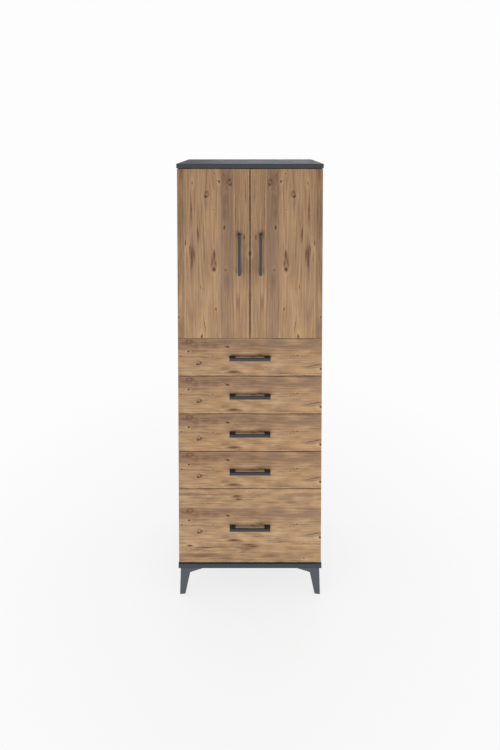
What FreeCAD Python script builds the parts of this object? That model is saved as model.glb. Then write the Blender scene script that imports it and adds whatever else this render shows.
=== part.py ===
import FreeCAD, Part
import os
import re
import Sketcher
from FreeCAD import Placement, Rotation, Vector

# A tall cabinet on four moulded legs: two doors over five drawers, built up from boards.
# X runs left to right from the middle, Y from the front to the back, Z up from the floor.

SIZES = {
    # Boards of the carcass
    "panel_width": 600,  # top and base panel
    "panel_depth": 400,
    "overall_height": 1818,
    "board": 18,
    "side_overhang": 2,  # top and base beyond the sides
    "front_overhang": 5,  # top and base beyond the fronts
    "back_board": 3,
    "groove_depth": 8,
    "groove_inset": 12,  # back panel's groove to the rear edge
    "fit": 0.2,  # clearance of pieces that are pushed together
    # Fronts
    "front_board": 18,
    "front_gap": 3,  # fronts to the edges of the carcass
    "reveal": 3,  # between neighbouring fronts
    "door_gap": 4.4,  # between the two doors
    "door_foot_reveal": 1.5,  # between the doors and the drawer under them
    "small_front": 157,
    "deep_front": 316,
    # Shelves
    "shelf_setback": 15,
    "shelf_clear": 1,
    "row_inset": 37,  # rows of holes to the front edge and to the back panel
    "pin_shank_radius": 2.5,
    "pin_shank": 9,
    "pin_peg_radius": 3,
    "pin_peg": 8,
    # Cam fittings and screws
    "cam_radius": 7.5,
    "cam_depth": 12.5,
    "cam_setback": 34,
    "cam_grip": 2.5,  # end of the bolt to the middle of the cam
    "bolt_radius": 3.5,
    "bolt_bite": 11,
    "screw_radius": 2,
    "screw_bite": 13,
    "head_radius": 4,
    "head_height": 2.5,
    # Legs, measured from the outer edges and the underside of the base panel
    "leg_height": 118,
    "leg_top_inset": 8,
    "leg_foot_inset": 4.7,
    "leg_top_width": 54,
    "leg_foot_width": 27.6,
    "leg_turn": 0.105,  # slope by which both outer faces turn away from the corner
    "leg_bevel": 1.5,
    "knee_in": 47.5,
    "knee_drop": 29,
    "gusset_reach": 136,
    "gusset_inset": 12,
    "gusset_thick": 12,
    "flange_reach": 110,
    "flange_thick": 4,
    "leg_screw_far": 70,
    "leg_screw_near": 36,
    # Bow handles
    "handle_length": 169,
    "handle_height": 11,
    "handle_projection": 23.5,
    "handle_bar": 5.5,
    "handle_post": 24,
    "handle_spacing": 160,
    "handle_round": 1.2,
    "handle_inset": 41.3,  # upright handle to the inner edge of its door
    # Hinges
    "hinge_inset": 100,
    "cup_radius": 17.5,
    "cup_edge": 3,
    "cup_depth": 12.5,
    "cup_wall": 0.8,
    "cup_flange": 1.2,
    "ear_near": 5,
    "ear_far": 15,
    "ear_reach": 31,
    "hinge_pin_radius": 1,
    "hinge_pin_inset": 7,
    "hinge_pin_depth": 9,
    "hinge_running_fit": 0.05,
    "eye_radius": 2,
    "arm_steel": 2.2,
    "arm_width": 11,
    "arm_clear": 0.4,
    "arm_step": 5,
    "plate_thick": 3,
    "plate_setback": 16,
    "plate_length": 44,
    "plate_width": 14,
    "wing_length": 14,
    "wing_width": 48,
    # Drawer boxes
    "box_board": 15,
    "box_length": 350,
    "box_lift": 20,
    "small_box": 100,
    "deep_box": 240,
    "bottom_board": 4,
    "bottom_rise": 10,
    "bottom_groove": 6,
    "box_cam_drop": 28,
    "back_screw": 45,
    # Telescopic runners
    "runner_length": 350,
    "runner_setback": 2,
    "runner_height": 35,
    "runner_space": 12.7,
    "runner_reach": 9.6,  # depth of the cabinet member
    "runner_steel": 1.2,
    "runner_clear": 0.3,
    "runner_rise": 45,
}

FASTENER_SIDES = 6

doc = FreeCAD.newDocument("DrawerCabinet")
sheet = doc.addObject("Spreadsheet::Sheet", "Sizes")
for row, (alias, value) in enumerate(SIZES.items(), 1):
    sheet.set(f"A{row}", alias)
    sheet.set(f"B{row}", str(value))
    sheet.setAlias(f"B{row}", alias)
doc.recompute()

nodes = []

# Planes that several pieces share, as text in the names of the sizes
rear = "((panel_depth - front_overhang + handle_projection) / 2)"
panel_front = f"({rear} - panel_depth)"
face = f"({panel_front} + front_overhang)"
face_back = f"({face} + front_board)"
case_front = f"({face_back} + front_gap)"
back_front = f"({rear} - groove_inset - fit - back_board)"
outer = "(panel_width / 2 - side_overhang)"
inner = f"({outer} - board)"
base_top = "(leg_height + board)"
top_under = "(overall_height - board)"
rows = [f"({case_front} + row_inset)", f"({back_front} - row_inset)"]


def tied(text):
    # Points each size name in the text at its cell, and leaves function names alone
    return re.sub(r"\b[a-z_]+\b(?!\()", r"Sizes.\g<0>", text)


def number(text):
    return float(sheet.evalExpression(tied(text)))


def bind(item, path, text):
    item.setExpression(path, tied(text))


def seat(item, point):
    for axis, text in zip("xyz", point):
        bind(item, "Placement.Base." + axis, text)


def panel(name, *spans):
    # A board from its low and high planes along X, Y and Z
    item = doc.addObject("Part::Box", name)
    for size, (low, high) in zip(("Length", "Width", "Height"), spans):
        bind(item, size, f"({high}) - ({low})")
    seat(item, [low for low, high in spans])
    return item


def rod(name, radius, *spans):
    # A cylinder along the one axis that has a low and a high plane, through a point on the others
    item = doc.addObject("Part::Cylinder", name)
    bind(item, "Radius", radius)
    return laid(item, spans)


def peg(name, radius, *spans):
    # A fastener or its hole, laid as a rod is, with a few flat sides because there are so many
    item = doc.addObject("Part::Prism", name)
    item.Polygon = FASTENER_SIDES
    bind(item, "Circumradius", radius)
    return laid(item, spans)


def laid(item, spans):
    along = next(i for i, span in enumerate(spans) if isinstance(span, tuple))
    low, high = spans[along]
    axis = Vector(*(float(i == along) for i in range(3)))
    item.Placement = Placement(Vector(), Rotation(Vector(0, 0, 1), axis))
    bind(item, "Height", f"({high}) - ({low})")
    seat(item, [low if i == along else span for i, span in enumerate(spans)])
    return item


def group(name, pieces):
    item = doc.addObject("Part::Compound", name)
    item.Links = pieces
    return item


def cut(name, base, tools):
    item = doc.addObject("Part::Cut", name)
    item.Base = base
    item.Tool = group(name + "_cuts", tools) if len(tools) > 1 else tools[0]
    return item


def fuse(name, pieces):
    item = doc.addObject("Part::MultiFuse", name)
    item.Shapes = pieces
    return item


def mirror(name, source, normal=(1, 0, 0)):
    item = doc.addObject("Part::Mirroring", name)
    item.Source = source
    item.Normal = Vector(*normal)
    return item


def both_sides(name, pieces):
    # Pieces of the left side together with their mirror images on the right
    left = group(name + "_left", pieces)
    return group(name, [left, mirror(name + "_right", left)])


def node(item, name):
    item.Label = name
    nodes.append(item)
    return item


def sketch_on(body, plane, offset):
    sketch = body.newObject("Sketcher::SketchObject", body.Name + "_sketch")
    origin = next(f for f in body.Origin.OriginFeatures if f.Role == plane)
    sketch.AttachmentSupport = [(origin, "")]
    sketch.MapMode = "FlatFace"
    bind(sketch, "AttachmentOffset.Base.z", offset)
    return sketch


def hold(sketch, kind, place, text):
    index = sketch.addConstraint(Sketcher.Constraint(kind, *place, number(text)))
    bind(sketch, f"Constraints[{index}]", text)


def outline(body, plane, points, offset="0"):
    # A closed outline of straight lines, with each corner held from the origin
    sketch = sketch_on(body, plane, offset)
    corners = [Vector(number(u), number(v), 0) for u, v in points]
    count = len(points)
    for i, corner in enumerate(corners):
        sketch.addGeometry(Part.LineSegment(corner, corners[(i + 1) % count]))
    for i, (u, v) in enumerate(points):
        sketch.addConstraint(Sketcher.Constraint("Coincident", i, 2, (i + 1) % count, 1))
        hold(sketch, "DistanceX", (-1, 1, i, 1), u)
        hold(sketch, "DistanceY", (-1, 1, i, 1), v)
    return sketch


def circles(body, plane, radius, centres, offset="0"):
    sketch = sketch_on(body, plane, offset)
    for i, (u, v) in enumerate(centres):
        centre = Vector(number(u), number(v), 0)
        sketch.addGeometry(Part.Circle(centre, Vector(0, 0, 1), number(radius)))
        hold(sketch, "DistanceX", (-1, 1, i, 3), u)
        hold(sketch, "DistanceY", (-1, 1, i, 3), v)
        hold(sketch, "Radius", (i,), radius)
    return sketch


def swept(body, kind, sketch, length, side="One side", back=False):
    # A Pad or a Pocket; back turns it to the other side of the sketch
    feature = body.newObject("PartDesign::" + kind, body.Name + "_" + kind.lower())
    feature.Profile = sketch
    feature.SideType = side
    feature.Reversed = back
    bind(feature, "Length", length)
    return feature


def eased(body, base, kind, amount, size, chosen):
    # A Fillet or a Chamfer on the chosen edges
    doc.recompute()
    feature = body.newObject("PartDesign::" + kind, body.Name + "_" + kind.lower())
    edges = enumerate(base.Shape.Edges, 1)
    feature.Base = (base, [f"Edge{i}" for i, edge in edges if chosen(edge)])
    bind(feature, amount, size)


def screw(name, x, y, z, shank, head):
    # A pan-head screw along the axis whose two spans are given by shank and head
    spans = [x, y, z]
    along = spans.index(None)
    pieces = []
    for part, radius, span in (("shank", "screw_radius", shank), ("head", "head_radius", head)):
        spans[along] = span
        pieces.append(peg(f"{name}_{part}", radius, *spans))
    return fuse(name, pieces)


# Levels of the drawer fronts from the base panel up, then of the doors, and of the two loose
# shelves at quarters of the way between a door's hinges, where they clear the hinge plates
drawers = {}
level = f"({base_top} + reveal)"
for position, size in ((5, "deep"), (4, "small"), (3, "small"), (2, "small"), (1, "small")):
    drawers[position] = (level, size)
    drawer_top = f"({level} + {size}_front)"
    level = f"({drawer_top} + reveal)"
door_low = f"({drawer_top} + door_foot_reveal)"
door_high = f"({top_under} - reveal)"
hinge_levels = [f"({door_low} + hinge_inset)", f"({door_high} - hinge_inset)"]
shelf_low = f"({drawer_top} - board / 2)"
shelf_top = f"({shelf_low} + board)"
shelf_levels = [
    f"((3 * {near} + {far}) / 4 - board / 2)" for near, far in (hinge_levels, hinge_levels[::-1])
]

# Middle of the side panels and of the cams that hold the fixed shelf
side_middle = f"({outer} - board / 2)"
shelf_cam = f"({inner} - cam_setback)"
shelf_middle = f"({shelf_low} + board / 2)"
bolt_hole = "bolt_radius + fit"


def leg_screw_points():
    # Two screws through each leg's flange, as places on the underside of the base panel
    near_far = [("leg_screw_far", "leg_screw_near"), ("leg_screw_near", "leg_screw_far")]
    return [
        (f"{sign_x}(panel_width / 2 - {u})", y_edge.format(v))
        for sign_x in ("-", "")
        for y_edge in (f"({panel_front} + {{}})", f"({rear} - {{}})")
        for u, v in near_far
    ]


def end_panel(name, low, groove, bite, cuts):
    # Top or base panel: back panel's groove, bolt holes of the side panels and any other cuts
    blank = panel(
        name + "_blank",
        ("-panel_width / 2", "panel_width / 2"),
        (panel_front, rear),
        (low, f"{low} + board"),
    )
    reach = f"({inner} + groove_depth)"
    slot = panel(
        name + "_groove",
        (f"-{reach}", reach),
        (f"{back_front} - fit", f"{rear} - groove_inset"),
        groove,
    )
    holes = [
        peg(f"{name}_hole", bolt_hole, sign + side_middle, row, bite)
        for sign in ("-", "")
        for row in rows
    ]
    return node(cut(name, blank, [slot, *holes, *cuts]), name)


def carcass_boards():
    leg_holes = [
        peg("leg_screw_hole", "screw_radius + fit", x, y, ("leg_height", "leg_height + screw_bite"))
        for x, y in leg_screw_points()
    ]
    end_panel(
        "base_panel",
        "leg_height",
        (f"{base_top} - groove_depth", base_top),
        (f"{base_top} - bolt_bite - fit", base_top),
        leg_holes,
    )
    end_panel(
        "top_panel",
        top_under,
        (top_under, f"{top_under} + groove_depth"),
        (top_under, f"{top_under} + bolt_bite + fit"),
        [],
    )

    side = panel("side_blank", (f"-{outer}", f"-{inner}"), (case_front, rear), (base_top, top_under))
    slot = panel(
        "side_groove",
        (f"-{inner} - groove_depth", f"-{inner}"),
        (f"{back_front} - fit", f"{rear} - groove_inset"),
        (base_top, top_under),
    )
    cuts = [slot]
    for row in rows:
        for low, high, cam in (
            (base_top, f"{base_top} + cam_setback", f"{base_top} + cam_setback"),
            (f"{top_under} - cam_setback", top_under, f"{top_under} - cam_setback"),
        ):
            cuts.append(peg("side_bolt_hole", bolt_hole, f"-{side_middle}", row, (low, high)))
            pocket = (f"-{inner} - cam_depth", f"-{inner}")
            cuts.append(peg("side_cam_hole", "cam_radius + fit", pocket, row, cam))
        reach = (f"-{inner} - bolt_bite - fit", f"-{inner}")
        cuts.append(peg("shelf_bolt_hole", bolt_hole, reach, row, shelf_middle))
        for shelf in shelf_levels:
            reach = (f"-{inner} - pin_shank - fit", f"-{inner}")
            centre = f"{shelf} - pin_peg_radius"
            cuts.append(peg("shelf_pin_hole", "pin_shank_radius + fit", reach, row, centre))
    left = node(cut("left_side_panel", side, cuts), "left_side_panel")
    node(mirror("right_side_panel", left), "right_side_panel")

    reach = f"({inner} + groove_depth - fit)"
    back = panel(
        "back_panel",
        (f"-{reach}", reach),
        (back_front, f"{back_front} + back_board"),
        (f"{base_top} - groove_depth + fit", f"{top_under} + groove_depth - fit"),
    )
    node(back, "back_panel")


def shelves():
    blank = panel("shelf_blank", (f"-{inner}", inner), (case_front, back_front), (shelf_low, shelf_top))
    cuts = []
    for row in rows:
        for sign in ("-", ""):
            pocket = (shelf_low, f"{shelf_low} + cam_depth")
            cuts.append(peg("shelf_cam_hole", "cam_radius + fit", sign + shelf_cam, row, pocket))
        for span in ((f"-{inner}", f"-{shelf_cam}"), (shelf_cam, inner)):
            cuts.append(peg("shelf_bolt_hole", bolt_hole, span, row, shelf_middle))
    node(cut("fixed_shelf", blank, cuts), "fixed_shelf")

    width = f"({inner} - shelf_clear)"
    depth = (f"{case_front} + shelf_setback", f"{back_front} - shelf_clear")
    loose = [
        panel("loose_shelf", (f"-{width}", width), depth, (shelf, f"{shelf} + board"))
        for shelf in shelf_levels
    ]
    node(group("adjustable_shelves", loose), "adjustable_shelves")

    pins = []
    for shelf in shelf_levels:
        for row in rows:
            centre = f"{shelf} - pin_peg_radius"
            held = (f"-{inner} - pin_shank", f"-{inner}")
            free = (f"-{inner}", f"-{inner} + pin_peg")
            shank = peg("pin_shank", "pin_shank_radius", held, row, centre)
            tip = peg("pin_peg", "pin_peg_radius", free, row, centre)
            pins.append(fuse("shelf_pin", [shank, tip]))
    node(both_sides("shelf_pins", pins), "shelf_pins")


def carcass_fasteners():
    # Cams and bolts of the left side with their mirror images, and the leg screws
    pieces = []
    for row in rows:
        for bolt, hole, cam in (
            (
                (f"{base_top} - bolt_bite", f"{base_top} + cam_setback - cam_grip"),
                (f"{base_top} + cam_setback - cam_radius", f"{base_top} + cam_setback"),
                f"{base_top} + cam_setback",
            ),
            (
                (f"{top_under} - cam_setback + cam_grip", f"{top_under} + bolt_bite"),
                (f"{top_under} - cam_setback", f"{top_under} - cam_setback + cam_radius"),
                f"{top_under} - cam_setback",
            ),
        ):
            drum = peg("cam_drum", "cam_radius", (f"-{inner} - cam_depth", f"-{inner}"), row, cam)
            slot = peg("cam_slot", bolt_hole, f"-{side_middle}", row, hole)
            pieces.append(cut("cam", drum, [slot]))
            pieces.append(peg("cam_bolt", "bolt_radius", f"-{side_middle}", row, bolt))
        pocket = (shelf_low, f"{shelf_low} + cam_depth")
        drum = peg("cam_drum", "cam_radius", f"-{shelf_cam}", row, pocket)
        hole = (f"-{shelf_cam} - cam_radius", f"-{shelf_cam}")
        slot = peg("cam_slot", bolt_hole, hole, row, shelf_middle)
        pieces.append(cut("cam", drum, [slot]))
        bolt = (f"-{inner} - bolt_bite", f"-{shelf_cam} - cam_grip")
        pieces.append(peg("cam_bolt", "bolt_radius", bolt, row, shelf_middle))
    fittings = both_sides("cam_fittings", pieces)

    under = "(leg_height - flange_thick)"
    shank = (under, "leg_height + screw_bite - fit")
    head = (f"{under} - head_height", under)
    screws = [screw("leg_screw", x, y, None, shank, head) for x, y in leg_screw_points()]
    node(group("carcass_fasteners", [fittings, *screws]), "carcass_fasteners")


def legs():
    # The front left leg, from the outer corner of the base panel's underside
    body = doc.addObject("PartDesign::Body", "leg_moulding")

    def section(inset, width):
        turned = f"({inset} + ({width} - {inset}) * leg_turn)"
        return [(inset, inset), (width, turned), (width, width), (turned, width)]

    loft = body.newObject("PartDesign::AdditiveLoft", "leg_loft")
    loft.Profile = outline(body, "XY_Plane", section("leg_top_inset", "leg_top_width"))
    foot = outline(body, "XY_Plane", section("leg_foot_inset", "leg_foot_width"), "-leg_height")
    loft.Sections = [foot]
    loft.Ruled = True
    half = number("leg_height") / 2
    eased(body, loft, "Chamfer", "Size", "leg_bevel", lambda edge: edge.BoundBox.ZLength > half)

    gusset = [
        ("leg_foot_width", "0"),
        ("gusset_reach", "0"),
        ("knee_in", "-knee_drop"),
        ("leg_foot_width", "-knee_drop"),
    ]
    swept(body, "Pad", outline(body, "XZ_Plane", gusset, "-gusset_inset"), "gusset_thick", back=True)
    swept(body, "Pad", outline(body, "YZ_Plane", gusset, "gusset_inset"), "gusset_thick")
    flange = [
        ("gusset_inset", "gusset_inset"),
        ("flange_reach", "gusset_inset"),
        ("gusset_inset", "flange_reach"),
    ]
    swept(body, "Pad", outline(body, "XY_Plane", flange), "flange_thick", back=True)
    seat(body, ("-panel_width / 2", panel_front, "leg_height"))

    through = ("leg_height - flange_thick", "leg_height")
    holes = [peg("flange_hole", "screw_radius + fit", x, y, through) for x, y in leg_screw_points()[:2]]
    front_left = cut("front_left_leg", body, holes)
    rear_left = mirror("rear_left_leg", front_left, (0, 1, 0))
    bind(rear_left, "Base.y", f"({panel_front} + {rear}) / 2")
    node(both_sides("legs", [front_left, rear_left]), "legs")


def hinge_arms():
    # Plan of one arm from its pin: across the cup, out past the side panel and onto its plate
    wall = "(board - hinge_pin_inset)"
    near = f"({wall} + arm_clear)"
    seated = f"({wall} + plate_thick)"
    plate_start = "(hinge_pin_depth + front_gap + plate_setback)"
    plate_end = f"({plate_start} + plate_length)"
    step = f"({plate_start} - arm_step)"
    plan = [
        ("0", "-arm_steel / 2"),
        (f"{near} + arm_steel", "-arm_steel / 2"),
        (f"{near} + arm_steel", step),
        (f"{seated} + arm_steel", plate_start),
        (f"{seated} + arm_steel", plate_end),
        (seated, plate_end),
        (seated, plate_start),
        (near, step),
        (near, "arm_steel / 2"),
        ("0", "arm_steel / 2"),
    ]
    turn = 360 / FASTENER_SIDES
    eye = [
        (f"eye_radius * cos({turn * i})", f"eye_radius * sin({turn * i})")
        for i in range(FASTENER_SIDES)
    ]
    half_wing = "(wing_width / 2)"
    half_plate = "(plate_width / 2)"
    wing_start = "(hinge_pin_depth + front_gap + row_inset - wing_length / 2)"
    wing_end = f"({wing_start} + wing_length)"
    cross = [
        (plate_start, f"-{half_plate}"),
        (wing_start, f"-{half_plate}"),
        (wing_start, f"-{half_wing}"),
        (wing_end, f"-{half_wing}"),
        (wing_end, f"-{half_plate}"),
        (plate_end, f"-{half_plate}"),
        (plate_end, half_plate),
        (wing_end, half_plate),
        (wing_end, half_wing),
        (wing_start, half_wing),
        (wing_start, half_plate),
        (plate_start, half_plate),
    ]
    pieces = []
    for hinge in hinge_levels:
        pin = (f"hinge_pin_inset - {outer}", f"{face_back} - hinge_pin_depth", hinge)
        arm = doc.addObject("PartDesign::Body", "hinge_arm")
        swept(arm, "Pad", outline(arm, "XY_Plane", plan), "arm_width", "Symmetric")
        swept(arm, "Pad", outline(arm, "XY_Plane", eye), "arm_width", "Symmetric")
        bore = circles(arm, "XY_Plane", "hinge_pin_radius + hinge_running_fit", [("0", "0")])
        swept(arm, "Pocket", bore, "arm_width", "Symmetric")
        plate = doc.addObject("PartDesign::Body", "hinge_plate")
        swept(plate, "Pad", outline(plate, "YZ_Plane", cross, wall), "plate_thick")
        for body in (arm, plate):
            seat(body, pin)
            pieces.append(body)
    node(both_sides("hinge_arms", pieces), "hinge_arms")


def hinge_cups():
    # Cups of the left door from the middle of their mouths on the back of the door, with their pins
    inset = "(cup_radius + cup_edge)"
    offset = f"({inset} - hinge_pin_inset)"
    half_pin = f"(sqrt((cup_radius - cup_wall) ^ 2 - ({offset} + hinge_pin_radius) ^ 2))"
    ears = [
        ("-ear_near", "-ear_reach"),
        ("ear_far", "-ear_reach"),
        ("ear_far", "ear_reach"),
        ("-ear_near", "ear_reach"),
    ]
    pieces = []
    for hinge in hinge_levels:
        cup = doc.addObject("PartDesign::Body", "hinge_cup")
        swept(cup, "Pad", circles(cup, "XZ_Plane", "cup_radius", [("0", "0")]), "cup_depth")
        swept(cup, "Pad", outline(cup, "XZ_Plane", ears), "cup_flange", back=True)
        mouth = circles(cup, "XZ_Plane", "cup_radius - cup_wall", [("0", "0")], "-cup_flange")
        swept(cup, "Pocket", mouth, "cup_flange + cup_depth - cup_wall", back=True)
        seat(cup, (f"{inset} - {outer}", face_back, hinge))
        spans = (
            f"hinge_pin_inset - {outer}",
            f"{face_back} - hinge_pin_depth",
            (f"{hinge} - {half_pin}", f"{hinge} + {half_pin}"),
        )
        pieces += [cup, rod("hinge_pin", "hinge_pin_radius", *spans)]
    return group("left_door_hinge_cups", pieces)


def handle(name, x, z, places, upright):
    # Plan of a bow handle from the face that it is screwed to
    body = doc.addObject("PartDesign::Body", name + "_bow")
    end = "(handle_length / 2)"
    post = f"({end} - handle_post)"
    bar = "(handle_bar - handle_projection)"
    plan = [
        (f"-{end}", "0"),
        (f"-{end}", "-handle_projection"),
        (end, "-handle_projection"),
        (end, "0"),
        (post, "0"),
        (post, bar),
        (f"-{post}", bar),
        (f"-{post}", "0"),
    ]
    bow = swept(body, "Pad", outline(body, "XY_Plane", plan), "handle_height", "Symmetric")
    front = -number("handle_projection")
    eased(
        body,
        bow,
        "Fillet",
        "Radius",
        "handle_round",
        lambda edge: edge.BoundBox.YMax < front + 1 and edge.BoundBox.XLength < 1,
    )
    if upright:
        body.Placement = Placement(Vector(), Rotation(Vector(0, 1, 0), 90))
    seat(body, (x, face, z))
    bite = (f"{face} - screw_bite", face)
    taps = [peg("handle_tap", "screw_radius + fit", px, bite, pz) for px, pz in places]
    return cut(name, body, taps)


def handle_screws(name, places):
    return [
        screw(
            name,
            x,
            None,
            z,
            (f"{face} - screw_bite + fit", face_back),
            (face_back, f"{face_back} + head_height"),
        )
        for x, z in places
    ]


def doors():
    # The left door and its pieces, then their mirror images
    blank = panel("door_blank", (f"-{outer}", "-door_gap / 2"), (face, face_back), (door_low, door_high))
    x = "(-door_gap / 2 - handle_inset)"
    z = f"(({door_low} + {door_high}) / 2)"
    places = [(x, f"{z} {sign} handle_spacing / 2") for sign in "-+"]
    cuts = [peg("handle_hole", "screw_radius + fit", px, (face, face_back), pz) for px, pz in places]
    cup_x = f"cup_radius + cup_edge - {outer}"
    for hinge in hinge_levels:
        pocket = (f"{face_back} - cup_depth - fit", face_back)
        cuts.append(rod("cup_hole", "cup_radius + fit", cup_x, pocket, hinge))
    pieces = {
        "panel": cut("left_door_panel", blank, cuts),
        "handle": handle("left_door_handle", x, z, places, True),
        "handle_screws": group("left_door_handle_screws", handle_screws("door_screw", places)),
        "hinge_cups": hinge_cups(),
    }
    for name, piece in pieces.items():
        node(piece, "left_door_" + name)
        node(mirror("right_door_" + name, piece), "right_door_" + name)


def channel(name, profile, z):
    # A runner member on the left side of the cabinet
    body = doc.addObject("PartDesign::Body", name)
    swept(body, "Pad", outline(body, "XZ_Plane", profile), "runner_length", back=True)
    seat(body, (f"-{inner}", f"{case_front} + runner_setback", z))
    return body


def runner_profiles():
    # Sections of the three nested members, from the side panel's face and the runner's middle height
    top = "(runner_height / 2)"
    under = f"({top} - runner_steel)"
    reach = "runner_reach"
    hook = "(runner_reach - runner_steel)"
    middle_in = "(runner_steel + runner_clear)"
    middle_web = f"({middle_in} + runner_steel)"
    middle_out = f"({hook} - runner_clear)"
    middle_top = f"({under} - runner_clear)"
    middle_under = f"({middle_top} - runner_steel)"
    drawer_in = f"({middle_web} + runner_clear)"
    drawer_web = "(runner_space - runner_steel)"
    drawer_top_edge = f"({middle_under} - runner_clear)"
    drawer_under = f"({drawer_top_edge} - runner_steel)"

    def closed(upper):
        # The upper half of a section and its mirror image below
        return upper + [(u, "-" + w) for u, w in reversed(upper)]

    cabinet = closed(
        [
            ("runner_steel", under),
            (hook, under),
            (hook, middle_under),
            (reach, middle_under),
            (reach, top),
            ("0", top),
        ]
    )
    middle = closed(
        [
            (middle_web, middle_under),
            (middle_out, middle_under),
            (middle_out, middle_top),
            (middle_in, middle_top),
        ]
    )
    drawer = closed(
        [
            (drawer_web, drawer_under),
            (drawer_in, drawer_under),
            (drawer_in, drawer_top_edge),
            ("runner_space", drawer_top_edge),
        ]
    )
    return cabinet, middle, drawer


def drawer(position, low, size, profiles):
    name = f"drawer_{position}"
    high = f"({low} + {size}_front)"
    middle = f"(({low} + {high}) / 2)"
    floor = f"({low} + box_lift)"
    walls = (floor, f"{floor} + {size}_box")
    half = f"({inner} - runner_space)"
    within = f"({half} - box_board)"
    box_end = f"({face_back} + box_length)"
    back_face = f"({box_end} - box_board)"
    runner = f"({floor} + runner_rise)"
    cam_y = f"({face_back} + cam_setback)"
    cam_z = f"({floor} + {size}_box - box_cam_drop)"
    side_mid = f"({half} - box_board / 2)"
    back_mid = f"({back_face} + box_board / 2)"

    # The bottom lies in grooves all round, on their lower faces
    groove = (f"{floor} + bottom_rise", f"{floor} + bottom_rise + bottom_board + fit")
    wide = f"({within} + bottom_groove)"
    slot = panel(
        name + "_groove",
        (f"-{wide}", wide),
        (f"{face_back} - bottom_groove", f"{back_face} + bottom_groove"),
        groove,
    )

    places = [(sign + "handle_spacing / 2", middle) for sign in ("-", "")]
    blank = panel(name + "_front_blank", (f"-{outer}", outer), (face, face_back), (low, high))
    cuts = [peg("handle_hole", "screw_radius + fit", x, (face, face_back), z) for x, z in places]
    for sign in ("-", ""):
        bite = (f"{face_back} - bolt_bite - fit", face_back)
        cuts.append(peg("front_bolt_hole", bolt_hole, sign + side_mid, bite, cam_z))
    node(cut(name + "_front", blank, [slot, *cuts]), name + "_front")

    side = panel(name + "_side_blank", (f"-{half}", f"-{within}"), (face_back, box_end), walls)
    cam_pocket = (f"-{within} - cam_depth", f"-{within}")
    sunk = (f"-{half}", f"-{half} + head_height")
    cuts = [
        peg("side_bolt_hole", bolt_hole, f"-{side_mid}", (face_back, cam_y), cam_z),
        peg("side_cam_hole", "cam_radius + fit", cam_pocket, cam_y, cam_z),
        peg("side_screw_hole", "screw_radius + fit", (f"-{half}", f"-{within}"), back_mid, cam_z),
        peg("side_head_hole", "head_radius + fit", sunk, back_mid, cam_z),
    ]
    left_side = cut(name + "_side", side, [slot, *cuts])
    node(both_sides(name + "_sides", [left_side]), name + "_sides")

    blank = panel(name + "_back_blank", (f"-{within}", within), (back_face, box_end), walls)
    cuts = []
    for span in ((f"-{within}", f"-{half} + back_screw"), (f"{half} - back_screw", within)):
        cuts.append(peg("back_screw_hole", "screw_radius + fit", span, back_mid, cam_z))
    node(cut(name + "_back", blank, [slot, *cuts]), name + "_back")

    reach = f"({wide} - fit)"
    bottom = panel(
        name + "_bottom",
        (f"-{reach}", reach),
        (f"{face_back} - bottom_groove + fit", f"{back_face} + bottom_groove - fit"),
        (f"{floor} + bottom_rise", f"{floor} + bottom_rise + bottom_board"),
    )
    node(bottom, name + "_bottom")

    node(handle(name + "_handle", "0", middle, places, False), name + "_handle")

    drum = peg("cam_drum", "cam_radius", cam_pocket, cam_y, cam_z)
    cam_slot = peg("cam_slot", bolt_hole, f"-{side_mid}", (f"{cam_y} - cam_radius", cam_y), cam_z)
    bolt = (f"{face_back} - bolt_bite", f"{cam_y} - cam_grip")
    pieces = [
        cut("cam", drum, [cam_slot]),
        peg("cam_bolt", "bolt_radius", f"-{side_mid}", bolt, cam_z),
        screw(
            "back_screw",
            None,
            back_mid,
            cam_z,
            (f"-{half} + head_height", f"-{half} + back_screw - fit"),
            sunk,
        ),
    ]
    sides = both_sides(name + "_box_fasteners", pieces)
    screws = handle_screws("front_screw", places)
    node(group(name + "_fasteners", [sides, *screws]), name + "_fasteners")

    cabinet, between, on_drawer = profiles
    for label, profile in (("middle_runners", between), ("drawer_runners", on_drawer)):
        member = channel(f"{name}_{label}_member", profile, runner)
        node(both_sides(f"{name}_{label}", [member]), f"{name}_{label}")
    return channel(name + "_cabinet_member", cabinet, runner)


carcass_boards()
shelves()
carcass_fasteners()
legs()
hinge_arms()
doors()
profiles = runner_profiles()
members = [drawer(position, low, size, profiles) for position, (low, size) in sorted(drawers.items())]
node(both_sides("cabinet_runners", members), "cabinet_runners")

doc.recompute()
for item in doc.Objects:
    if "Invalid" in item.State or "Error" in item.State:
        raise RuntimeError(f"{item.Label} did not rebuild: {item.State}")
for item in nodes:
    if item.Shape.isNull() or not item.Shape.isValid():
        raise RuntimeError(f"{item.Label} has no valid shape")

os.makedirs("parts", exist_ok=True)
for item in nodes:
    item.Shape.exportStep(f"parts/{item.Label}.step")
print(len(nodes), "nodes", sum(len(item.Shape.Solids) for item in nodes), "solids")
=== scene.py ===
import math

import bmesh
import bpy
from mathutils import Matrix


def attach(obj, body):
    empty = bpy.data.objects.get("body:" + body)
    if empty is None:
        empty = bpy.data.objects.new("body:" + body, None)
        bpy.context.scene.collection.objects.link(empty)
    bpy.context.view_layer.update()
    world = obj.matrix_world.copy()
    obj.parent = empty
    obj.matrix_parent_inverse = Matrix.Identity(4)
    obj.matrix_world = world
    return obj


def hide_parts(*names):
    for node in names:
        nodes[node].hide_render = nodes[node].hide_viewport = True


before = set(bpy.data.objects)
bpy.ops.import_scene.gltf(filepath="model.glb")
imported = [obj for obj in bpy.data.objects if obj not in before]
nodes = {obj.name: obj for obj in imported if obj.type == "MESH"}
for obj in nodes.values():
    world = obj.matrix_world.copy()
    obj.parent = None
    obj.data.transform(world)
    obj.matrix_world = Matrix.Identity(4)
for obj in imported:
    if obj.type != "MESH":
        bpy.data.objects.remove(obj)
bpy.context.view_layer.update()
print("frame in:", len(nodes), "nodes")


# small helpers for node trees

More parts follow.
